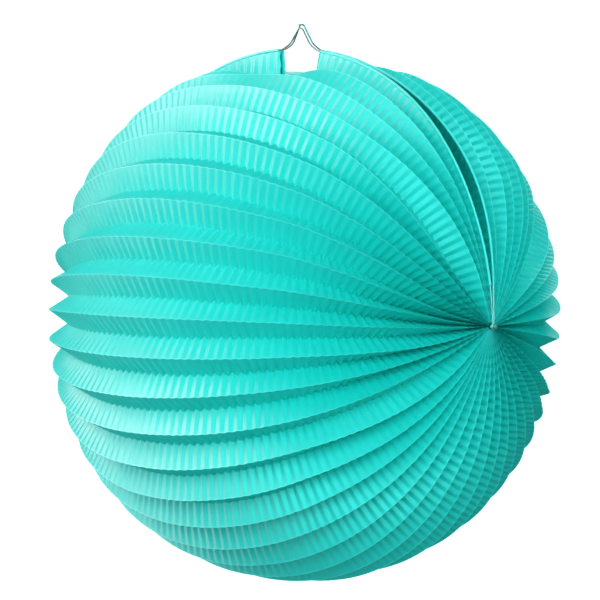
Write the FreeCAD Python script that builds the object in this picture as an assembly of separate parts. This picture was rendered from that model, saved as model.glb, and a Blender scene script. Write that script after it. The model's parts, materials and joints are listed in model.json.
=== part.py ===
"""Round accordion lantern of crimped paper, hung from the two hooked peaks of its wire bows.

One long strip of crimped paper is folded into pleats that run from pole to pole. The pole axis lies
along X, the front faces -Y and +Z is up. Each end of the strip is hemmed round a wire bow. The bows
meet side by side along the top, and their ends turn on a pin at each pole. All sizes are millimetres.
"""
import FreeCAD, Part
import math
import os

from FreeCAD import Vector

# Driving dimensions
CREST_RADIUS = 125.0       # pole axis to the mountain folds, at the middle
HALF_LENGTH = 110.0        # middle to the paper's tip at each pole
FULLNESS = 0.81            # power of the outline's sine: under 1 is fuller than an ellipse
FOLD_COUNT = 42            # folds round the axis, counting the seam as one of them
PANEL_WIDTH = 12.3         # mountain fold to valley fold, across the strip
PAPER_THICKNESS = 0.5      # over the crimps
THICKNESS_SHARE = 0.35     # of the half pitch, which the thickness keeps within near the poles
FOLD_GAP = 0.3             # between neighbouring pleats, where the strip is divided at a valley
GAP_SHARE = 0.06           # of the half pitch, which the gap keeps within near the poles
TIP_RADIUS = 4.0           # where the modelled pleats end, at the gathered tips
SPANS = 28                 # flat facets along each pleat
TIP_CROWDING = 0.5         # 0 spaces the facets evenly, and nearer 1 crowds them at the tips

WIRE_RADIUS = 0.4
WIRE_STANDOFF = 0.4        # wire centreline outside the mountain folds' outline
BOW_OFFSET_TOP = 1.4       # wire centreline to the seam's middle plane, at the top
BOW_SPREAD = 3.9           # the paper pulls the bows this much further apart half way up
SPREAD_PLACE = 1.2         # over 1 puts the widest place nearer the top
SPREAD_TAPER = 1.5         # over 1 eases the spread in and out
HEM_WALL = 0.35            # paper rolled round the wire
HEM_CLEARANCE = 0.05
HEM_END_RADIUS = 19.6      # the hem stops at this distance from the pole axis, then the wire is bare
HEM_LEAN_LIMIT = 4.8       # degrees from the seam's middle plane, which the end panels keep within

NOTCH_HALF_WIDTH = 11.6
NOTCH_LIP = 1.2            # paper left above the valley fold in the notch
NOTCH_CUT = 30.0           # size of the cut, well over the end panels' width

RIDGE_HALF_GAP = 12.2      # the hem and the bow's even curve stop here
PEAK_HALF_FOOT = 10.0      # the bow leaves the ridge here
PEAK_KNEE = (6.0, 2.4)     # half width and height above the ridge
PEAK_HALF_TOP = 1.0
FRONT_PEAK_HEIGHT = 9.9
REAR_PEAK_HEIGHT = 11.6
FRONT_PEAK_OFFSET = -0.5   # along Y, at the top of the front bow's peak
REAR_PEAK_OFFSET = 0.5
REAR_NOSE_OFFSET = -1.0    # the rear bow's tip leans over the front bow's peak
NOSE_SHARE = 0.7           # of the peak's top width
CORNER_SHARE = 0.45        # of the shorter run beside a bend, which its arc takes up

EYE_TURN = 250.0           # degrees of wire round each pin
EYE_NECK = 3.0             # straight wire above each eye
BOW_POINTS = 26            # runs along each half of a bow

PIN_RADIUS = 0.6
PIN_CLEARANCE = 0.05
PIN_HEAD_RADIUS = 1.15
PIN_HEAD_THICKNESS = 0.8
PIN_HEAD_FILLET = 0.35
PIN_END_GAP = 0.2          # between the outer eye and the pin's head
PIN_INNER_END = 96.0       # the pin's inner head, measured from the middle
REAR_EYE_X = HALF_LENGTH + 0.6
FRONT_EYE_X = HALF_LENGTH + 1.5

# Worked out
HALF_PITCH = math.pi / FOLD_COUNT
EYE_RADIUS = PIN_RADIUS + PIN_CLEARANCE + WIRE_RADIUS
RIDGE_RADIUS = CREST_RADIUS + WIRE_STANDOFF
AXIS_Z = -(RIDGE_RADIUS + FRONT_PEAK_HEIGHT - WIRE_RADIUS)   # the origin is under the front peak
AXIS = Vector(0, 0, AXIS_Z)


def around_axis(x, radius, angle):
    """A point at a distance from the pole axis; the angle runs from the top towards the front."""
    return AXIS + Vector(x, -radius * math.sin(angle), radius * math.cos(angle))


def crest(t):
    """The mountain folds' outline and its outward normal, for t from 0 to pi, left pole to right."""
    sine = math.sin(t)
    x = -HALF_LENGTH * math.cos(t)
    radius = CREST_RADIUS * sine ** FULLNESS
    along_x = HALF_LENGTH * sine
    along_radius = FULLNESS * CREST_RADIUS * sine ** (FULLNESS - 1) * math.cos(t)
    length = math.hypot(along_x, along_radius)
    return x, radius, -along_radius / length, along_x / length


def valley(t):
    """The valley folds' outline, a panel's width in from the mountain folds."""
    x, radius, normal_x, normal_radius = crest(t)
    half_pitch = radius * math.sin(HALF_PITCH)
    depth = math.sqrt(PANEL_WIDTH ** 2 - half_pitch ** 2)
    return x - depth * normal_x, radius - depth * normal_radius


def thickness(radius):
    """The paper's thickness, which narrows with the pitch near the poles."""
    return min(PAPER_THICKNESS, THICKNESS_SHARE * radius * math.sin(HALF_PITCH))


def thickness_shift(t):
    """How far the inner face lies from the outer face, along the inward normal, as (x, radius)."""
    radius, normal_x, normal_radius = crest(t)[1:]
    shift = thickness(radius) * PANEL_WIDTH / (radius * math.sin(HALF_PITCH))
    return -shift * normal_x, -shift * normal_radius


def gap_angle(radius):
    """Half the gap between two pleats as an angle; it narrows with the pitch near the poles."""
    gap = min(FOLD_GAP, GAP_SHARE * radius * math.sin(HALF_PITCH))
    return 0.5 * gap / radius


def stations():
    """Values of t along a pleat, from one gathered tip to the other, closer together at the tips."""
    tip = math.asin((TIP_RADIUS / CREST_RADIUS) ** (1 / FULLNESS))
    shares = [i / SPANS for i in range(SPANS + 1)]
    eased = [u - TIP_CROWDING * math.sin(2 * math.pi * u) / (2 * math.pi) for u in shares]
    return [tip + (math.pi - 2 * tip) * u for u in eased]


def triangle(a, b, c):
    return Part.Face(Part.makePolygon([a, b, c, a]))


def flat_faced_solid(sections):
    """A closed solid of flat facets through sections made by sheet_section.

    The second corner is a mountain fold or a free edge, and the last but one lies under it. Every
    facet's diagonal ends on one of them, so that the inner face runs parallel to the outer one.
    """
    faces = []
    corners = len(sections[0])
    upper = (1, corners - 2)
    for here, there in zip(sections, sections[1:]):
        for i in range(corners):
            j = (i + 1) % corners
            if i in upper:
                faces.append(triangle(here[i], here[j], there[i]))
                faces.append(triangle(here[j], there[j], there[i]))
            else:
                faces.append(triangle(here[i], here[j], there[j]))
                faces.append(triangle(here[i], there[j], there[i]))
    for end in (sections[0], sections[-1]):
        for i in range(corners // 2 - 1):
            faces.append(triangle(end[i], end[i + 1], end[corners - 1 - i]))
            faces.append(triangle(end[i + 1], end[corners - 2 - i], end[corners - 1 - i]))
    shell = Part.makeShell(faces)
    shell.sewShape()
    solid = Part.makeSolid(shell)
    if solid.Volume < 0:
        return flat_faced_solid([section[::-1] for section in sections])
    return solid


def sheet_section(t, folds):
    """One section of folded paper: its outer edge through the folds, then back along the inner."""
    shift_x, shift_radius = thickness_shift(t)
    outer = [around_axis(x, radius, angle) for x, radius, angle in folds]
    inner = [around_axis(x + shift_x, radius + shift_radius, angle) for x, radius, angle in folds]
    return outer + inner[::-1]


def make_pleat(index):
    """One pleat of the strip, valley to valley over its mountain fold."""
    middle = 2 * HALF_PITCH * index
    sections = []
    for t in stations():
        x, radius = crest(t)[:2]
        valley_x, valley_radius = valley(t)
        reach = HALF_PITCH - gap_angle(valley_radius)
        folds = [(valley_x, valley_radius, middle - reach),
                 (x, radius, middle),
                 (valley_x, valley_radius, middle + reach)]
        sections.append(sheet_section(t, folds))
    return flat_faced_solid(sections)


def bow_offset(radius):
    """Distance from the seam's middle plane to a bow, which the paper pulls out half way up."""
    share = radius / RIDGE_RADIUS
    spread = max(0.0, math.sin(math.pi * share ** SPREAD_PLACE)) ** SPREAD_TAPER
    return EYE_RADIUS + (BOW_OFFSET_TOP - EYE_RADIUS) * share + BOW_SPREAD * spread


def bow_outline(eye_x, points):
    """(x, radius) of a bow from the left eye to the left foot of its peak."""
    foot = math.acos(RIDGE_HALF_GAP / eye_x)
    outline = []
    for i in range(points + 1):
        t = foot * i / points
        outline.append((-eye_x * math.cos(t), RIDGE_RADIUS * math.sin(t) ** FULLNESS))
    return outline


def bow_points(side, eye_x, peak_height, peak_offset, nose_offset):
    """The bow's centreline from eye to eye; side is -1 for the front and +1 for the rear."""
    left = [AXIS + Vector(x, side * bow_offset(radius), radius)
            for x, radius in bow_outline(eye_x, BOW_POINTS)]
    left.insert(1, left[0] + Vector(0, 0, EYE_NECK))
    foot_y = side * BOW_OFFSET_TOP
    knee_half, knee_height = PEAK_KNEE
    knee_y = foot_y + (peak_offset - foot_y) * knee_height / peak_height
    left.append(AXIS + Vector(-PEAK_HALF_FOOT, foot_y, RIDGE_RADIUS))
    left.append(AXIS + Vector(-knee_half, knee_y, RIDGE_RADIUS + knee_height))
    left.append(AXIS + Vector(-PEAK_HALF_TOP, peak_offset, RIDGE_RADIUS + peak_height))
    if nose_offset is not None:
        left.append(AXIS + Vector(-PEAK_HALF_TOP * NOSE_SHARE, nose_offset, RIDGE_RADIUS + peak_height))
    return left + mirrored(left)


def mirrored(points):
    """The same points on the other side of the plane X = 0, in the order that carries on."""
    return [Vector(-p.x, p.y, p.z) for p in reversed(points)]


def rounded_edges(points):
    """Straight runs joined by tangent arcs, each as large as its two runs allow."""
    edges = []
    start = points[0]
    for before, corner, after in zip(points, points[1:], points[2:]):
        back = before - corner
        ahead = after - corner
        cut = CORNER_SHARE * min(back.Length, ahead.Length)
        back.normalize()
        ahead.normalize()
        enter = corner + back * cut
        leave = corner + ahead * cut
        turn = math.pi - back.getAngle(ahead)
        radius = cut / math.tan(turn / 2)
        bisector = (back + ahead).normalize()
        middle = corner + bisector * (math.hypot(radius, cut) - radius)
        edges.append(Part.LineSegment(start, enter).toShape())
        edges.append(Part.Arc(enter, middle, leave).toShape())
        start = leave
    edges.append(Part.LineSegment(start, points[-1]).toShape())
    return edges


def eye_arc(side, x):
    """The wire's turn round the pin, from its free end to where the bow leaves it upwards."""
    centre = AXIS + Vector(x, 0, 0)
    turns = [math.radians(EYE_TURN * share) for share in (1, 0.5, 0)]
    points = [centre + Vector(0, side * math.cos(a), -math.sin(a)) * EYE_RADIUS for a in turns]
    return Part.Arc(*points).toShape()


def bow_path(side, eye_x, *peak):
    """The whole bow's centreline: an eye, the bow with its peak, and the other eye."""
    middle = rounded_edges(bow_points(side, eye_x, *peak))
    return Part.Wire([eye_arc(side, -eye_x)] + middle + [eye_arc(side, eye_x)])


def hem_paths(side, eye_x, *peak):
    """The two stretches of a bow that its hem covers, left and right of the notch."""
    left = [p for p in bow_points(side, eye_x, *peak)
            if p.x < -NOTCH_HALF_WIDTH and p.z - AXIS_Z > HEM_END_RADIUS]
    return [Part.Wire(rounded_edges(points)) for points in (left, mirrored(left))]


def tube_along(path, radius):
    """A round rod along a path of lines and arcs."""
    first = path.OrderedEdges[0]
    start = first.valueAt(first.FirstParameter)
    direction = first.tangentAt(first.FirstParameter)
    ring = Part.Wire(Part.makeCircle(radius, start, direction))
    return path.makePipeShell([ring], True, False)


def make_bow(side, bow):
    """A wire bow with an eye round the pin at each pole."""
    return tube_along(bow_path(side, *bow), WIRE_RADIUS)


def band_section(side, eye_x, t):
    """One section of an end panel: its face towards the next pleat, then its face towards the seam."""
    radius = crest(t)[1]
    reach = min(1.0, radius / HEM_END_RADIUS)
    edge_x = -(HALF_LENGTH + (eye_x - HALF_LENGTH) * reach) * math.cos(t)
    edge_radius = (CREST_RADIUS + WIRE_STANDOFF * reach) * math.sin(t) ** FULLNESS
    valley_x, valley_radius = valley(t)
    low = HALF_PITCH - gap_angle(valley_radius)
    high = min(math.atan2(bow_offset(edge_radius), edge_radius), math.radians(HEM_LEAN_LIMIT))
    section = []
    for x, along, angle in ((valley_x, valley_radius, low), (edge_x, edge_radius, high)):
        section.append(around_axis(x, along, -side * angle))
    for x, along, angle in ((edge_x, edge_radius, high), (valley_x, valley_radius, low)):
        section.append(around_axis(x, along, -side * (angle - thickness(along) / along)))
    return section


def make_end_panel(side, bow):
    """The strip's last panel: a band from the last valley up to the bow, hemmed and notched."""
    panel = flat_faced_solid([band_section(side, bow[0], t) for t in stations()])
    for path in hem_paths(side, *bow):
        sleeve = tube_along(path, WIRE_RADIUS + HEM_CLEARANCE + HEM_WALL)
        panel = panel.fuse(sleeve)
    panel = panel.cut(tube_along(bow_path(side, *bow), WIRE_RADIUS + HEM_CLEARANCE))
    floor = AXIS_Z + valley(math.pi / 2)[1] + NOTCH_LIP
    corner = Vector(-NOTCH_HALF_WIDTH, -NOTCH_CUT / 2, floor)
    panel = panel.cut(Part.makeBox(2 * NOTCH_HALF_WIDTH, NOTCH_CUT, NOTCH_CUT, corner))
    return max(panel.Solids, key=lambda solid: solid.Volume)


def make_pole_pin(end):
    """A headed pin along the pole axis, through the gathered tips and the bows' eyes."""
    outer = FRONT_EYE_X + WIRE_RADIUS + PIN_END_GAP
    along = Vector(end, 0, 0)
    shank = Part.makeCylinder(PIN_RADIUS, outer - PIN_INNER_END, AXIS + along * PIN_INNER_END, along)
    inner_head = Part.makeCylinder(PIN_HEAD_RADIUS, PIN_HEAD_THICKNESS,
                                   AXIS + along * (PIN_INNER_END - PIN_HEAD_THICKNESS), along)
    outer_head = Part.makeCylinder(PIN_HEAD_RADIUS, PIN_HEAD_THICKNESS, AXIS + along * outer, along)
    rim = max(outer_head.Edges, key=lambda edge: abs(edge.CenterOfMass.x))
    outer_head = outer_head.makeFillet(PIN_HEAD_FILLET, [rim])
    return shank.fuse([inner_head, outer_head]).removeSplitter()


FRONT_BOW = (FRONT_EYE_X, FRONT_PEAK_HEIGHT, FRONT_PEAK_OFFSET, None)
REAR_BOW = (REAR_EYE_X, REAR_PEAK_HEIGHT, REAR_PEAK_OFFSET, REAR_NOSE_OFFSET)


def make_nodes():
    nodes = {
        "front_hem_wire": make_bow(-1, FRONT_BOW),
        "rear_hem_wire": make_bow(1, REAR_BOW),
        "front_end_panel": make_end_panel(-1, FRONT_BOW),
        "rear_end_panel": make_end_panel(1, REAR_BOW),
        "left_pole_pin": make_pole_pin(-1),
        "right_pole_pin": make_pole_pin(1),
    }
    for index in range(1, FOLD_COUNT):
        nodes[f"pleat_{index:02d}"] = make_pleat(index)
    return nodes


os.makedirs("parts", exist_ok=True)
for name, shape in make_nodes().items():
    print(name, "solids", len(shape.Solids), "valid", shape.isValid(), "volume", round(shape.Volume, 1))
    shape.exportStep(f"parts/{name}.step")
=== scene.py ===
"""Round accordion lantern of crimped turquoise paper, hung from the hooked peaks of its two wire bows.

The paper is built gore by gore: each one runs from a mountain fold down to the valley and up to the
next mountain fold. Lengths are millimetres until the meshes are made, which are in metres.
"""

import json
import math

import bpy
import numpy as np
from mathutils import Matrix, Vector


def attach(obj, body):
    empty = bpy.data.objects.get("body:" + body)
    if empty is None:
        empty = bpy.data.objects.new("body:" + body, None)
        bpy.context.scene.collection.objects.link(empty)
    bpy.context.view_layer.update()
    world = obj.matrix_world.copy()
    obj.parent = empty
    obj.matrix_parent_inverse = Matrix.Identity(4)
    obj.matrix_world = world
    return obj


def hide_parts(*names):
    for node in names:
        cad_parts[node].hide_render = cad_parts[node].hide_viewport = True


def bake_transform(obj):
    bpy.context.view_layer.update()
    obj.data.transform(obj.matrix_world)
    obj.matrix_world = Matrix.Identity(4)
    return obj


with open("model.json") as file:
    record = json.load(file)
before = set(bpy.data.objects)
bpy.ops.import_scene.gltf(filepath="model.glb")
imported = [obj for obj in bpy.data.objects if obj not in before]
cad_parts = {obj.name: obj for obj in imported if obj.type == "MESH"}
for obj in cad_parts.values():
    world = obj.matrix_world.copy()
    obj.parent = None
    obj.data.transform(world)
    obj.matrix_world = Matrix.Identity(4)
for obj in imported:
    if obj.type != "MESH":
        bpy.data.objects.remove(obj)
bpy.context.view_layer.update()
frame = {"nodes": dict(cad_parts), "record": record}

MM = 0.001
SEED = 42

# The shade's dimensions, as in the part
CREST_RADIUS = 125.0
HALF_LENGTH = 110.0
FULLNESS = 0.81
FOLD_COUNT = 42
PANEL_WIDTH = 12.3
RIDGE_RADIUS = 125.4
EYE_RADIUS = 1.05
BOW_OFFSET_TOP = 1.4
BOW_SPREAD = 3.9
SPREAD_PLACE = 1.2
SPREAD_TAPER = 1.5
EYE_X = {"front": 111.5, "rear": 110.6}
HEM_END_RADIUS = 19.6
HEM_LEAN_LIMIT = 4.8       # degrees
TUCK_RADIUS = 6.0          # nearer the poles than this an end panel's edge keeps to the paper's outline
NOTCH_HALF_WIDTH = 11.6
RIDGE_HALF_GAP = 12.2

PITCH = 2 * math.pi / FOLD_COUNT
HALF_PITCH = PITCH / 2
LAST_HALF = FOLD_COUNT // 2
JOINTS = frame["record"]["behaviour"]["joints"]
AXIS = np.array(JOINTS[0]["pos_m"]) / MM

# The paper
GATHER_RADIUS = 1.7        # the paper's tips close round the pins to this radius
SHEET = 0.22               # thickness
SHEET_SHARE = 0.35         # of the half pitch, which the thickness keeps within near the poles
CRIMPS = 84                # pole to pole
CRIMP_HEIGHT = 0.95        # half of the zigzag's height along a valley fold
CRIMP_AT_CREST = 0.18      # share of it that is left at a mountain fold
CRIMP_FADE_RADIUS = 16.0   # nearer the poles than this the crimps are squeezed flat
CRIMP_UNEVENNESS = (0.85, 1.15)        # least and greatest share of the height, drawn at random
CRIMP_TURN_RADIUS = 6.0    # nearer the poles than this a crimp turns the paper no further
CREST_WAVE = 0.22          # the hand-made unevenness of the folds
VALLEY_WAVE = 0.35
WAVE_CYCLES = (1.5, 3.1, 5.3, 8.7)
WAVE_FADE_RADIUS = 60.0    # nearer the poles than this the waves die away
SEAM_BELL = 27.0           # reach along X of the sag beside the seam
SAG_MIDDLE = -4.0          # its middle, along X
FRONT_SAG = (0.0, 11.0, 4.2, 1.0)      # of the mountain folds, inwards, counted from the seam
REAR_SAG = (0.0, 13.0, 10.0, 4.0, 1.0)
CREST_LEAN = (0.0, 1.0, 0.5, 0.0)      # degrees towards the seam
VALLEY_SAG = (4.0, 4.0, 1.6, 0.3)
FRONT_VALLEY_LEAN = (2.75, 0.8, 0.2)
REAR_VALLEY_LEAN = (4.0, 0.8, 0.2)
# The pleats don't open evenly near the right pole: degrees away from the seam, for each fold from there
FRONT_SPREAD = (0, 0, -5, -8.5, 9, 5, 6.5, 6, 6.5, 4, 1, 4.5, 1, -1.5, 7.5, 8, 5, 2)
REAR_SPREAD = (0, 4.4, 6.9, 5.3, 4.7, 0.5, -3, 4, 3, 3.6, 4.5, 5.4, 6.3, 7.3, 6, 5, 4, 3, 2, 1)
# where each spread begins, how far nearer the pole it is complete, and how late it sets in
FRONT_SPREAD_FADE = (105.0, 80.0, 1.3)
REAR_SPREAD_FADE = (118.0, 45.0, 1.0)
LEFT_SPREAD_FADE = (110.0, 80.0, 1.0)
LEFT_SPREAD = 1.3                      # the same at the left pole, in degrees, drawn at random
SHALLOWEST = 4.0                       # a wide open pleat is at least this deep
# where a crimp's bends lie along it, and the zigzag's value there
CRIMP_STEPS = ((0.0, 0.88), (0.1, 0.6), (0.4, -0.6), (0.5, -0.88), (0.6, -0.6), (0.9, 0.6))
ACROSS = (0.0, 0.05, 0.25, 0.5, 0.7, 0.85, 1.0)   # rows from a mountain fold to the valley
NOTCH_ROW = 5                                     # the notch is cut down to this row
TORN = (0.0, 0.1, -0.5, 0.35, -0.25)              # the front notch's left side, row by row
VALLEY_SHIFT = 0.3         # an end panel's inner face at the valley, towards the seam, in thicknesses

FINE_STEPS = 8001          # samples of the outline when the columns are spaced
CREST_SEED = SEED
VALLEY_SEED = SEED + 100
HEM_SEED = SEED + 300

random = np.random.RandomState(SEED)


def outline(t):
    """The mountain folds' outline and its outward normal in the plane of X and the radius."""
    sine = np.sin(t)
    x = -HALF_LENGTH * np.cos(t)
    radius = CREST_RADIUS * sine ** FULLNESS
    along_x = HALF_LENGTH * sine
    along_radius = FULLNESS * CREST_RADIUS * sine ** (FULLNESS - 1) * np.cos(t)
    length = np.hypot(along_x, along_radius)
    return x, radius, -along_radius / length, along_x / length


def column_places():
    """t for every column of the paper's grid, evenly crimped, and the run along the mountain fold."""
    tip = math.asin((GATHER_RADIUS / CREST_RADIUS) ** (1 / FULLNESS))
    fine = np.linspace(tip, math.pi - tip, FINE_STEPS)
    x, radius = outline(fine)[:2]
    run = np.concatenate([[0.0], np.cumsum(np.hypot(np.diff(x), np.diff(radius)))])
    shares = [(crimp + step) / CRIMPS for crimp in range(CRIMPS) for step, _ in CRIMP_STEPS] + [1.0]
    t = np.interp(np.array(shares) * run[-1], run, fine)
    for edge in (-NOTCH_HALF_WIDTH, NOTCH_HALF_WIDTH):
        t[np.argmin(np.abs(outline(t)[0] - edge))] = math.acos(-edge / HALF_LENGTH)
    return t, np.array(shares) * run[-1]


def fade_in(side, begin, reach, power):
    """0 away from a pole and 1 near it; side is 1 at the right pole and -1 at the left."""
    return np.where(side * X > 0, np.clip((begin - RADIUS) / reach, 0, 1) ** power, 0)


T, RUN = column_places()
X, RADIUS, NORMAL_X, NORMAL_R = outline(T)
COLUMNS = len(T)
LEFT_NOTCH = int(np.argmin(np.abs(X + NOTCH_HALF_WIDTH)))
HALF_CHORD = RADIUS * math.sin(HALF_PITCH)
RIGHT_FRONT = fade_in(1, *FRONT_SPREAD_FADE)
RIGHT_REAR = fade_in(1, *REAR_SPREAD_FADE)
LEFT_POLE = fade_in(-1, *LEFT_SPREAD_FADE)
BELL = np.exp(-((X - SAG_MIDDLE) / SEAM_BELL) ** 2)
THICKNESS = np.minimum(SHEET, SHEET_SHARE * HALF_CHORD)
SHIFT = THICKNESS * PANEL_WIDTH / HALF_CHORD       # inwards, for that thickness on a slanting panel
ZIGZAG = np.array([value for _ in range(CRIMPS) for _, value in CRIMP_STEPS] + [CRIMP_STEPS[0][1]])
ZIGZAG *= np.interp(np.arange(COLUMNS), np.arange(0, COLUMNS, len(CRIMP_STEPS)),
                    random.uniform(*CRIMP_UNEVENNESS, CRIMPS + 1))
CRIMP_FADE = np.clip(RADIUS / CRIMP_FADE_RADIUS, 0, 1)
WAVE_FADE = np.clip(RADIUS / WAVE_FADE_RADIUS, 0, 1)


def slow_wave(generator, size):
    """A gentle random unevenness along a fold."""
    total = np.zeros(COLUMNS)
    for cycles in WAVE_CYCLES:
        total += generator.normal() * np.sin(cycles * T * 2 + generator.uniform(0, 2 * math.pi)) / cycles
    return size * total * WAVE_FADE


def pick(table, index):
    """An entry of a table that goes on as zeros."""
    return table[index] if index < len(table) else 0.0


def bow_offset(radius):
    """Distance from the seam's middle plane to a bow, which the paper pulls out half way up."""
    share = np.clip(radius / RIDGE_RADIUS, 0, 1)
    spread = np.clip(np.sin(math.pi * share ** SPREAD_PLACE), 0, 1) ** SPREAD_TAPER
    return EYE_RADIUS + (BOW_OFFSET_TOP - EYE_RADIUS) * share + BOW_SPREAD * spread


def hemmed_edge(bow):
    """The strip's end, which runs along a bow."""
    reach = np.clip((RADIUS - TUCK_RADIUS) / (HEM_END_RADIUS - TUCK_RADIUS), 0, 1)
    x = X * (HALF_LENGTH + (EYE_X[bow] - HALF_LENGTH) * reach) / HALF_LENGTH
    radius = RADIUS * (CREST_RADIUS + (RIDGE_RADIUS - CREST_RADIUS) * reach) / CREST_RADIUS
    angle = np.minimum(np.arctan2(bow_offset(radius), radius), math.radians(HEM_LEAN_LIMIT))
    return x, radius, angle if bow == "front" else 2 * math.pi - angle


def mountain(fold):
    """(x, radius, angle) along a mountain fold; folds 0 and 42 are the two hemmed edges."""
    from_seam = min(fold, FOLD_COUNT - fold)
    side = 1 if fold <= LAST_HALF else -1
    if from_seam == 0:
        return hemmed_edge("front" if fold == 0 else "rear")
    generator = np.random.RandomState(CREST_SEED + fold)
    sag = pick(FRONT_SAG if fold <= LAST_HALF else REAR_SAG, from_seam) * BELL
    radius = RADIUS + slow_wave(generator, CREST_WAVE) - sag
    lean = pick(CREST_LEAN, from_seam) * BELL
    if side > 0:
        lean -= pick(FRONT_SPREAD, from_seam) * RIGHT_FRONT
    else:
        lean -= pick(REAR_SPREAD, from_seam) * RIGHT_REAR
    lean += LEFT_SPREAD * generator.normal() * LEFT_POLE
    angle = fold * PITCH - side * np.radians(lean) + slow_wave(generator, CREST_WAVE) / CREST_RADIUS
    if fold == LAST_HALF:
        angle = np.full(COLUMNS, fold * PITCH)     # both halves follow this fold, so it lies even
    return X, radius, angle


def valley(gore):
    """(x, radius, angle) along the valley fold between mountain folds gore and gore + 1."""
    from_seam = min(gore, FOLD_COUNT - 1 - gore)
    side = 1 if gore < LAST_HALF else -1
    generator = np.random.RandomState(VALLEY_SEED + gore)
    start, end = mountain(gore)[2], mountain(gore + 1)[2]
    half_chord = RADIUS * np.sin((end - start) / 2)
    depth = np.sqrt(np.maximum(PANEL_WIDTH ** 2 - half_chord ** 2, SHALLOWEST ** 2))
    radius = RADIUS - depth * NORMAL_R + slow_wave(generator, VALLEY_WAVE)
    radius -= pick(VALLEY_SAG, from_seam) * BELL
    lean = np.radians(pick(FRONT_VALLEY_LEAN if side > 0 else REAR_VALLEY_LEAN, from_seam)) * BELL
    angle = (start + end) / 2 - side * lean + slow_wave(generator, VALLEY_WAVE) / CREST_RADIUS
    return X - depth * NORMAL_X, radius, angle


def flat_point(fold_line):
    """Points in millimetres from (x, radius, angle)."""
    x, radius, angle = fold_line
    return np.stack([x, -radius * np.sin(angle), radius * np.cos(angle)], axis=-1)


def paper_rows(gore):
    """Every row of a gore: points before crimping, the share that sets its crimps and painted highlights,
    place across the strip.
    """
    start = flat_point(mountain(gore))
    bottom = flat_point(valley(gore))
    end = flat_point(mountain(gore + 1))
    rows = []
    for share in ACROSS:
        rows.append((start + (bottom - start) * share, share, share * PANEL_WIDTH))
    for share in ACROSS[-2::-1]:
        rows.append((end + (bottom - end) * share, share, (2 - share) * PANEL_WIDTH))
    return rows


def polar(points):
    """(x, radius, angle) from points: the reverse of flat_point."""
    radius = np.hypot(points[..., 1], points[..., 2])
    angle = np.arctan2(-points[..., 1], points[..., 2])
    return points[..., 0], radius, angle


def crimp_share(share, gore, row, row_count):
    """How much of the crimps' height a row has; the hemmed edges are rolled flat."""
    if gore == 0 and row == 0 or gore == FOLD_COUNT - 1 and row == row_count - 1:
        return 0.0
    return CRIMP_AT_CREST + (1 - CRIMP_AT_CREST) * share


def on_end_panel(gore, row, row_count):
    """Whether a row lies on the panel beside the seam, above its valley fold."""
    middle = row_count // 2
    return gore == 0 and row < middle or gore == FOLD_COUNT - 1 and row > middle


def seam_shift(gore, row, row_count, share):
    """How far the inner face lies towards the seam, as a share of the thickness."""
    if gore not in (0, FOLD_COUNT - 1):
        return 0.0
    towards = -1 if gore == 0 else 1
    if on_end_panel(gore, row, row_count):
        return towards * (1 - (1 - VALLEY_SHIFT) * share)
    return towards * VALLEY_SHIFT * share


# How far each body turns as the lantern folds, as a share of the driving joint's turn
SHARE = {c["joint"]: c["ratio"] for c in frame["record"]["behaviour"]["couplings"]}
TURN = {j["child"]: SHARE.get(j["name"], 1.0) for j in JOINTS}
HALF_TURN = math.radians(JOINTS[0]["range_deg"][1])


def closed_angle(fold):
    """Where a mountain fold lies when the lantern is folded; there the pleats lie evenly."""
    turns = TURN[f"pleat_{fold:02d}"] + (1.0 if fold < LAST_HALF else 0.0)
    return fold * PITCH + turns * HALF_TURN


def follow_share(gore, angles):
    """How far each point of the gore follows the turning body of its half: 0 to 1."""
    half = 1.0 if gore < LAST_HALF else 0.0
    first = 1.0 if gore == 0 else (closed_angle(gore) - angles[0]) / HALF_TURN - half
    last = 0.0 if gore == FOLD_COUNT - 1 else (closed_angle(gore + 1) - angles[-1]) / HALF_TURN - half
    across = np.clip((angles - angles[0]) / (angles[-1] - angles[0]), 0, 1)
    return np.clip(first + (last - first) * across, 0, 1)


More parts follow.
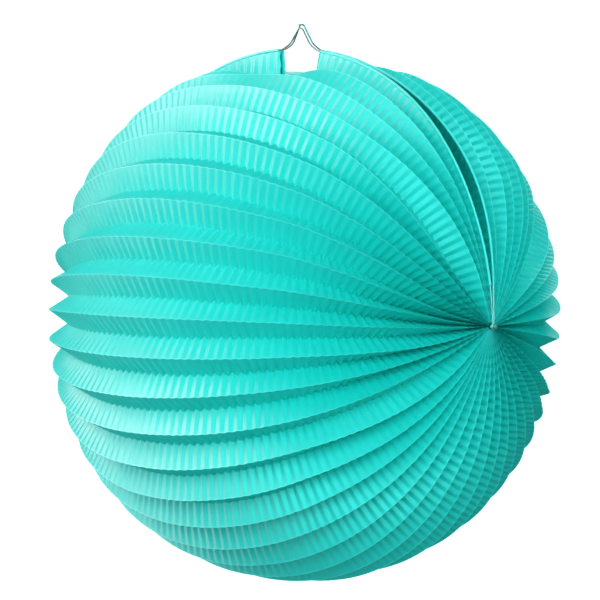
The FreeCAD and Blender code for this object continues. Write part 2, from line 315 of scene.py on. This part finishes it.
def gore_mesh(gore):
    """The gore as a closed sheet, with the values that its materials read."""
    rows = paper_rows(gore)
    count = len(rows)
    outer, inner, turn, place, edge_highlight, crimp_highlight = [], [], [], [], [], []
    middle = (gore + 0.5) * PITCH
    for row, (points, share, across) in enumerate(rows):
        x, radius, angle = polar(points)
        angle = middle + (angle - middle + math.pi) % (2 * math.pi) - math.pi
        turn.append(angle.copy())
        lift = CRIMP_HEIGHT * crimp_share(share, gore, row, count) * ZIGZAG * CRIMP_FADE
        angle = angle + lift / np.maximum(radius, CRIMP_TURN_RADIUS)
        if gore == 0 and row < len(TORN):
            x = x + TORN[row] * (np.arange(COLUMNS) == LEFT_NOTCH)
        inward = SHIFT * (share if on_end_panel(gore, row, count) else 1.0)
        aside = seam_shift(gore, row, count, share) * THICKNESS / radius
        outer.append(flat_point((x, radius, angle)))
        inner.append(flat_point((x - inward * NORMAL_X, radius - inward * NORMAL_R, angle + aside)))
        along_strip = np.full(COLUMNS, across + gore * 2 * PANEL_WIDTH)
        place.append(np.stack([RUN, along_strip, np.zeros(COLUMNS)], -1))
        # The mountain-fold rows get a painted highlight, which the material paints paler.
        edge_highlight.append(np.full(COLUMNS, 1.0 if share == 0 else 0.0))
        # The crimp bends near the valley get a painted highlight, which the material paints paler.
        crimp_highlight.append(np.abs(ZIGZAG) * share)
    turn = follow_share(gore, np.array(turn))

    keep = np.ones((count - 1, COLUMNS - 1), bool)
    in_notch = np.abs((X[1:] + X[:-1]) / 2) < NOTCH_HALF_WIDTH
    if gore == 0:
        keep[:NOTCH_ROW, in_notch] = False
    if gore == FOLD_COUNT - 1:
        keep[count - 1 - NOTCH_ROW:, in_notch] = False
    faces = sheet_faces(keep, count)
    points = np.concatenate([np.array(outer).reshape(-1, 3), np.array(inner).reshape(-1, 3)])
    values = {"turn": turn, "paper": place, "edge_highlight": edge_highlight, "crimp_highlight": crimp_highlight}
    doubled = {name: np.concatenate([np.array(v).reshape(count * COLUMNS, -1)] * 2)
               for name, v in values.items()}
    used = np.unique(faces)
    renumber = np.full(len(points), -1)
    renumber[used] = np.arange(len(used))
    return points[used], renumber[faces], {name: v[used] for name, v in doubled.items()}, used


def sheet_faces(keep, count):
    """Quads of the outer face, the inner face, and the edges all round what is kept."""
    offset = count * COLUMNS
    j, i = np.nonzero(keep)
    a = j * COLUMNS + i
    b = a + COLUMNS
    c = b + 1
    d = a + 1
    faces = [np.stack([a, b, c, d], -1), np.stack([d, c, b, a], -1) + offset]
    padded = np.zeros((keep.shape[0] + 2, keep.shape[1] + 2), bool)
    padded[1:-1, 1:-1] = keep
    for first, second, dj, di in ((a, b, 0, -1), (b, c, 1, 0), (c, d, 0, 1), (d, a, -1, 0)):
        open_edge = ~padded[j + 1 + dj, i + 1 + di]
        p, q = first[open_edge], second[open_edge]
        faces.append(np.stack([q, p, p + offset, q + offset], -1))
    return np.concatenate(faces)


def mesh_object(name, points, faces, material):
    """A smooth mesh in metres, from points in millimetres from the axis's middle."""
    mesh = bpy.data.meshes.new(name)
    mesh.from_pydata([], [], [])
    mesh.vertices.add(len(points))
    mesh.vertices.foreach_set("co", ((points + AXIS) * MM).astype(np.float32).ravel())
    corners = faces.shape[1]
    mesh.loops.add(faces.size)
    mesh.loops.foreach_set("vertex_index", faces.astype(np.int32).ravel())
    mesh.polygons.add(len(faces))
    mesh.polygons.foreach_set("loop_start", np.arange(0, faces.size, corners, dtype=np.int32))
    mesh.update(calc_edges=True)
    mesh.polygons.foreach_set("use_smooth", np.full(len(faces), True))
    mesh.validate()
    mesh.materials.append(material)
    made = bpy.data.objects.new(name, mesh)
    bpy.context.scene.collection.objects.link(made)
    return made


def add_values(mesh, name, values):
    """Stores a number or a place for every point, which the materials read."""
    if values.shape[1] == 3:
        attribute = mesh.attributes.new(name, "FLOAT_VECTOR", "POINT")
        attribute.data.foreach_set("vector", values.astype(np.float32).ravel())
    else:
        attribute = mesh.attributes.new(name, "FLOAT", "POINT")
        attribute.data.foreach_set("value", values.astype(np.float32).ravel())


def sharpen_folds(mesh, used, count):
    """Marks the fold lines and the sheet's own edges sharp."""
    ends = np.zeros(len(mesh.edges) * 2, np.int32)
    mesh.edges.foreach_get("vertices", ends)
    grid = used[ends.reshape(-1, 2)]
    layer = grid // (count * COLUMNS)
    row = grid % (count * COLUMNS) // COLUMNS
    on_valley = (row[:, 0] == count // 2) & (row[:, 1] == count // 2)
    on_crest = np.isin(row[:, 0], (0, count - 1)) & (row[:, 0] == row[:, 1])
    through = layer[:, 0] != layer[:, 1]
    sharp = mesh.attributes.new("sharp_edge", "BOOLEAN", "EDGE")
    sharp.data.foreach_set("value", on_valley | on_crest | through)


def bend_gore(made):
    """Bakes the gore's placement into its mesh."""
    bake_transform(made)


# Materials

def new_material(name):
    material = bpy.data.materials.new(name)
    material.use_nodes = True
    nodes = material.node_tree.nodes
    nodes.clear()
    return material, nodes, material.node_tree.links


def add_node(nodes, kind, inputs=(), **settings):
    made = nodes.new(kind)
    for key, value in settings.items():
        setattr(made, key, value)
    for key, value in inputs:
        made.inputs[key].default_value = value
    return made


def colour_mix(nodes, links, factor, first, second):
    """Mixes two colours; each is a socket or a constant colour."""
    made = add_node(nodes, "ShaderNodeMix", data_type="RGBA", blend_type="MIX")
    for index, value in ((0, factor), (6, first), (7, second)):
        if isinstance(value, bpy.types.NodeSocket):
            links.new(value, made.inputs[index])
        else:
            made.inputs[index].default_value = value
    return made.outputs[2]


def ramp(nodes, links, source, low, high, to_low=0.0, to_high=1.0):
    """A value between low and high, spread over another range."""
    made = add_node(nodes, "ShaderNodeMapRange",
                    (("From Min", low), ("From Max", high), ("To Min", to_low), ("To Max", to_high)))
    links.new(source, made.inputs["Value"])
    return made.outputs["Result"]


def paper_material(name, dark, light, grain_tint):
    """Dyed crepe-like paper: fine fibres, soft mottling, painted highlights that make the fold lines,
    crimp ridges and hems paler, a broad gloss.
    """
    material, nodes, links = new_material(name)
    place = add_node(nodes, "ShaderNodeAttribute", attribute_name="paper").outputs["Vector"]
    stretch = add_node(nodes, "ShaderNodeVectorMath", operation="MULTIPLY")
    stretch.inputs[1].default_value = (1.0, 0.35, 1.0)
    links.new(place, stretch.inputs[0])
    fibres = add_node(nodes, "ShaderNodeTexNoise", (("Scale", 2.6), ("Detail", 4.0), ("Roughness", 0.65)))
    links.new(stretch.outputs[0], fibres.inputs["Vector"])
    mottle = add_node(nodes, "ShaderNodeTexNoise", (("Scale", 0.07), ("Detail", 3.0), ("Roughness", 0.5)))
    links.new(place, mottle.inputs["Vector"])
    edge_highlight = add_node(nodes, "ShaderNodeAttribute", attribute_name="edge_highlight").outputs["Fac"]
    crimp_highlight = add_node(nodes, "ShaderNodeAttribute", attribute_name="crimp_highlight").outputs["Fac"]

    paper_colour = colour_mix(nodes, links, ramp(nodes, links, mottle.outputs["Fac"], 0.35, 0.65), dark, light)
    grain = ramp(nodes, links, fibres.outputs["Fac"], 0.3, 0.7)
    paper_colour = colour_mix(nodes, links, grain, paper_colour, grain_tint)
    # Painted highlight: the crimp ridges near the valley are painted paler.
    painted_crimp_highlight = ramp(nodes, links, crimp_highlight, 0.55, 0.9, 0.0, 0.28)
    paper_colour = colour_mix(nodes, links, painted_crimp_highlight, paper_colour, HIGHLIGHT_PALE)
    # Painted highlight: the mountain folds and the hems are painted paler.
    painted_edge_highlight = ramp(nodes, links, edge_highlight, 0.0, 1.0, 0.0, 0.85)
    paper_colour = colour_mix(nodes, links, painted_edge_highlight, paper_colour, HIGHLIGHT_PALE)

    bump = add_node(nodes, "ShaderNodeBump", (("Strength", 0.25), ("Distance", 0.00012)))
    links.new(fibres.outputs["Fac"], bump.inputs["Height"])
    surface = add_node(nodes, "ShaderNodeBsdfPrincipled",
                       (("Roughness", 0.50), ("IOR", 1.85), ("Specular IOR Level", 1.0)))
    links.new(paper_colour, surface.inputs["Base Color"])
    links.new(bump.outputs["Normal"], surface.inputs["Normal"])
    through = add_node(nodes, "ShaderNodeBsdfTranslucent")
    links.new(paper_colour, through.inputs["Color"])
    mixed = add_node(nodes, "ShaderNodeMixShader", ((0, LET_THROUGH),))
    links.new(surface.outputs[0], mixed.inputs[1])
    links.new(through.outputs[0], mixed.inputs[2])
    links.new(mixed.outputs[0], add_node(nodes, "ShaderNodeOutputMaterial").inputs["Surface"])
    return material


def steel_material(name, colour, handled, roughness):
    """Drawn and plated steel with fine marks, painted darker at the peaks as a painted shade for the
    hooks' dark reflections.
    """
    material, nodes, links = new_material(name)
    place = add_node(nodes, "ShaderNodeTexCoord").outputs["Object"]
    marks = add_node(nodes, "ShaderNodeTexNoise", (("Scale", 900.0), ("Detail", 3.0), ("Roughness", 0.6)))
    links.new(place, marks.inputs["Vector"])
    dull = add_node(nodes, "ShaderNodeTexNoise", (("Scale", 60.0), ("Detail", 2.0)))
    links.new(place, dull.inputs["Vector"])
    height = add_node(nodes, "ShaderNodeSeparateXYZ")
    links.new(place, height.inputs[0])
    # Painted shade: the steel's colour darkens towards the peaks, for the hooks' dark reflections.
    peak_shade_share = ramp(nodes, links, height.outputs["Z"], *PEAK_SHADE_HEIGHT)
    tone = colour_mix(nodes, links, peak_shade_share, (*colour, 1), (*handled, 1))
    spots = ramp(nodes, links, dull.outputs["Fac"], 0.35, 0.7, 0.0, 0.3)
    tone = colour_mix(nodes, links, spots, tone, GRIME)
    bump = add_node(nodes, "ShaderNodeBump", (("Strength", 0.2), ("Distance", 0.00004)))
    links.new(marks.outputs["Fac"], bump.inputs["Height"])
    surface = add_node(nodes, "ShaderNodeBsdfPrincipled", (("Metallic", 1.0),))
    links.new(tone, surface.inputs["Base Color"])
    links.new(ramp(nodes, links, marks.outputs["Fac"], 0.3, 0.7, roughness - 0.06, roughness + 0.08),
              surface.inputs["Roughness"])
    links.new(bump.outputs["Normal"], surface.inputs["Normal"])
    links.new(surface.outputs[0], add_node(nodes, "ShaderNodeOutputMaterial").inputs["Surface"])
    return material


HIGHLIGHT_PALE = (0.30, 0.95, 0.92, 1)           # the paper's painted highlight colour on the mountain folds, crimp ridges and hems
LET_THROUGH = 0.22                     # share of the light that the paper scatters through
GRIME = (0.1, 0.1, 0.1, 1)
PEAK_SHADE_HEIGHT = (-0.030, -0.010)      # metres: from the plain steel colour below to the painted shade of the peaks above
PLEAT_PAPER = paper_material(
    "pleat_paper", (0.0, 0.66, 0.60, 1), (0.0, 0.72, 0.66, 1), (0.01, 0.74, 0.69, 1))
END_PAPER = paper_material(
    "end_paper", (0.0, 0.65, 0.59, 1), (0.0, 0.71, 0.65, 1), (0.01, 0.73, 0.68, 1))
# The second colour is the painted shade at the peaks.
WIRE_STEEL = steel_material("wire_steel", (0.97, 0.86, 0.86), (0.42, 0.33, 0.32), 0.40)
PIN_STEEL = steel_material("pin_steel", (0.66, 0.62, 0.60), (0.5, 0.5, 0.5), 0.34)

for gore in range(FOLD_COUNT):
    at_end = gore in (0, FOLD_COUNT - 1)
    points, faces, values, used = gore_mesh(gore)
    made = mesh_object(f"gore_{gore:02d}", points, faces, END_PAPER if at_end else PLEAT_PAPER)
    sharpen_folds(made.data, used, 2 * len(ACROSS) - 1)
    # Two of these values carry the painted highlights.
    for name in ("paper", "edge_highlight", "crimp_highlight"):
        add_values(made.data, name, values[name])
    bend_gore(made)
    if gore == 0:
        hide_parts("front_end_panel")
    elif at_end:
        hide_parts(f"pleat_{gore:02d}", "rear_end_panel")
    else:
        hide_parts(f"pleat_{gore:02d}")


# The hems

HEM_OUTER = 0.66           # radii of the rolled paper
HEM_INNER = 0.44
HEM_ROUGHNESS = 0.06       # the outside's unevenness
HEM_RING = 14              # points round it
HEM_POINTS = 150           # along each stretch
# HEM_HIGHLIGHT sets how far the hems are painted paler, as a painted highlight.
HEM_HIGHLIGHT = 0.75


def hem_line(bow, end):
    """Points along one stretch of a bow that its hem covers, from near the pole to the notch."""
    eye_x = EYE_X[bow]
    side = -1 if bow == "front" else 1
    low = math.asin((HEM_END_RADIUS / RIDGE_RADIUS) ** (1 / FULLNESS))
    high = math.acos(RIDGE_HALF_GAP / eye_x)
    t = np.linspace(low, high, HEM_POINTS)
    radius = RIDGE_RADIUS * np.sin(t) ** FULLNESS
    return np.stack([end * eye_x * np.cos(t), side * bow_offset(radius), radius], -1)


def make_hem(bow, end):
    """Paper rolled round the wire, a closed tube wall with a slightly uneven outside."""
    line = hem_line(bow, end)
    generator = np.random.RandomState(HEM_SEED + (end > 0) + 2 * (bow == "front"))
    forward = np.gradient(line, axis=0)
    forward /= np.linalg.norm(forward, axis=1, keepdims=True)
    across = np.cross(forward, np.array([0.0, 1.0, 0.0]))
    across /= np.linalg.norm(across, axis=1, keepdims=True)
    up = np.cross(across, forward)
    angles = np.linspace(0, 2 * math.pi, HEM_RING, endpoint=False)
    spread = (across[:, None] * np.cos(angles)[None, :, None]
              + up[:, None] * np.sin(angles)[None, :, None])
    outside = HEM_OUTER + generator.uniform(-HEM_ROUGHNESS, HEM_ROUGHNESS, len(line))
    inside = np.full(len(line), HEM_INNER)
    rings = [line[:, None] + spread * radius[:, None, None] for radius in (outside, inside)]
    count = len(line) * HEM_RING
    faces = []
    for i in range(len(line) - 1):
        for a in range(HEM_RING):
            b = (a + 1) % HEM_RING
            quad = [i * HEM_RING + a, i * HEM_RING + b, (i + 1) * HEM_RING + b, (i + 1) * HEM_RING + a]
            faces.append(quad)
            faces.append([v + count for v in reversed(quad)])
    for i, flip in ((0, True), (len(line) - 1, False)):
        for a in range(HEM_RING):
            b = (a + 1) % HEM_RING
            p, q = i * HEM_RING + a, i * HEM_RING + b
            quad = [p, q, q + count, p + count]
            faces.append(quad if flip else quad[::-1])
    points = np.concatenate([r.reshape(-1, 3) for r in rings])
    made = mesh_object(f"{bow}_hem_{'right' if end > 0 else 'left'}", points, np.array(faces), END_PAPER)
    run = np.concatenate([[0.0], np.cumsum(np.linalg.norm(np.diff(line, axis=0), axis=1))])
    place = np.stack([np.repeat(run, HEM_RING), np.tile(angles, len(line)), np.zeros(count)], -1)
    add_values(made.data, "paper", np.concatenate([place, place]))
    # The hem is painted paler all over, as a painted highlight.
    add_values(made.data, "edge_highlight", np.full((2 * count, 1), HEM_HIGHLIGHT))
    add_values(made.data, "crimp_highlight", np.zeros((2 * count, 1)))
    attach(made, f"{bow}_frame")


for bow in ("front", "rear"):
    for end in (-1, 1):
        make_hem(bow, end)

# The wires and pins keep the shapes that they have in the part
for name, material in (("front_hem_wire", WIRE_STEEL), ("rear_hem_wire", WIRE_STEEL),
                       ("left_pole_pin", PIN_STEEL), ("right_pole_pin", PIN_STEEL)):
    node = frame["nodes"][name]
    node.data.materials.clear()
    node.data.materials.append(material)


# Camera, light and room

CAMERA_AZIMUTH = 38.7
CAMERA_ELEVATION = 5.1
CAMERA_DISTANCE = 4.0
FRAME_WIDTH = 0.2821       # what the picture spans at the object
SENSOR = 36.0              # millimetres
AIM_LEFT = 0.0024          # the picture's middle, from the pole axis's middle
AIM_UP = 0.0074
CAMERA_ROLL = 0.8          # degrees; the lantern hangs with its right pole a little high


def direction(azimuth, elevation):
    """From the object towards a camera or lamp there; azimuth 0 is the front, 90 the right."""
    a, e = math.radians(azimuth), math.radians(elevation)
    return Vector((math.sin(a) * math.cos(e), -math.cos(a) * math.cos(e), math.sin(e)))


def facing(back):
    """The rotation that looks the other way along back."""
    return (-back).to_track_quat("-Z", "Y").to_euler()


centre = Vector(AXIS * MM)
back = direction(CAMERA_AZIMUTH, CAMERA_ELEVATION)
right = Vector((0, 0, 1)).cross(back).normalized()
up = back.cross(right)
camera_data = bpy.data.cameras.new("camera")
camera_data.sensor_width = SENSOR
camera_data.lens = SENSOR * CAMERA_DISTANCE / FRAME_WIDTH
camera_data.clip_end = 60.0
camera = bpy.data.objects.new("camera", camera_data)
camera.location = centre - right * AIM_LEFT + up * AIM_UP + back * CAMERA_DISTANCE
level = facing(back).to_matrix()
camera.rotation_euler = (level @ Matrix.Rotation(math.radians(-CAMERA_ROLL), 3, "Z")).to_euler()
bpy.context.scene.collection.objects.link(camera)
bpy.context.scene.camera = camera


def softbox(name, azimuth, elevation, distance, size, power, colour=(1, 1, 1)):
    """A round soft lamp that the camera doesn't see."""
    data = bpy.data.lights.new(name, "AREA")
    data.color = colour
    data.shape = "DISK"
    data.size = size
    data.energy = power
    lamp = bpy.data.objects.new(name, data)
    back = direction(azimuth, elevation)
    lamp.location = centre + back * distance
    lamp.rotation_euler = facing(back)
    lamp.visible_camera = False
    bpy.context.scene.collection.objects.link(lamp)


# The fills' tint keeps the shaded paper saturated
SOFT_TINT = (0.2, 1.0, 0.98)
KEY_TINT = (1.0, 0.78, 0.78)
softbox("key", -46, 25, 1.6, 1.2, 20, KEY_TINT)
softbox("low_key", -66, -16, 1.6, 1.2, 6.5, KEY_TINT)
softbox("right_fill", 62, 22, 2.2, 1.6, 33, SOFT_TINT)
softbox("front_fill", 18, 12, 2.2, 1.6, 18, SOFT_TINT)
softbox("rear_fill", 215, 30, 2.2, 1.6, 18)

FLOOR_Z = -0.55
ROOM_PROFILE = ((5.5, 0.0), (7.0, 0.12), (8.2, 0.7), (8.9, 1.9), (9.2, 4.0), (9.3, 9.0))
ROOM_SIDES = 96


def make_room():
    """A pale floor that curves up into a pale wall all round, which only the camera sees."""
    points, faces = [], []
    for radius, height in ROOM_PROFILE:
        for side in range(ROOM_SIDES):
            a = 2 * math.pi * side / ROOM_SIDES
            points.append((radius * math.cos(a), radius * math.sin(a), FLOOR_Z + height))
    for ring in range(len(ROOM_PROFILE) - 1):
        for side in range(ROOM_SIDES):
            after = (side + 1) % ROOM_SIDES
            faces.append((ring * ROOM_SIDES + side, (ring + 1) * ROOM_SIDES + side,
                          (ring + 1) * ROOM_SIDES + after, ring * ROOM_SIDES + after))
    faces.append(tuple(range(ROOM_SIDES)))
    mesh = bpy.data.meshes.new("room")
    mesh.from_pydata(points, [], faces)
    for polygon in mesh.polygons:
        polygon.use_smooth = True
    material, nodes, links = new_material("room_paint")
    surface = add_node(nodes, "ShaderNodeBsdfPrincipled", (
        ("Base Color", (0.92, 0.92, 0.92, 1)), ("Roughness", 0.9),
        ("Emission Color", (1, 1, 1, 1)), ("Emission Strength", 1.0)))
    links.new(surface.outputs[0], add_node(nodes, "ShaderNodeOutputMaterial").inputs["Surface"])
    mesh.materials.append(material)
    room = bpy.data.objects.new("room", mesh)
    bpy.context.scene.collection.objects.link(room)
    room.visible_diffuse = False
    room.visible_glossy = False
    room.visible_transmission = False
    room.visible_shadow = False


make_room()


def make_world():
    """Soft tinted light, the same from all round."""
    world = bpy.data.worlds.new("world")
    world.use_nodes = True
    sky = world.node_tree.nodes["Background"]
    sky.inputs["Color"].default_value = (*SOFT_TINT, 1)
    sky.inputs["Strength"].default_value = SKY_STRENGTH
    bpy.context.scene.world = world


SKY_STRENGTH = 0.38
make_world()
bpy.context.scene.view_settings.view_transform = "Standard"
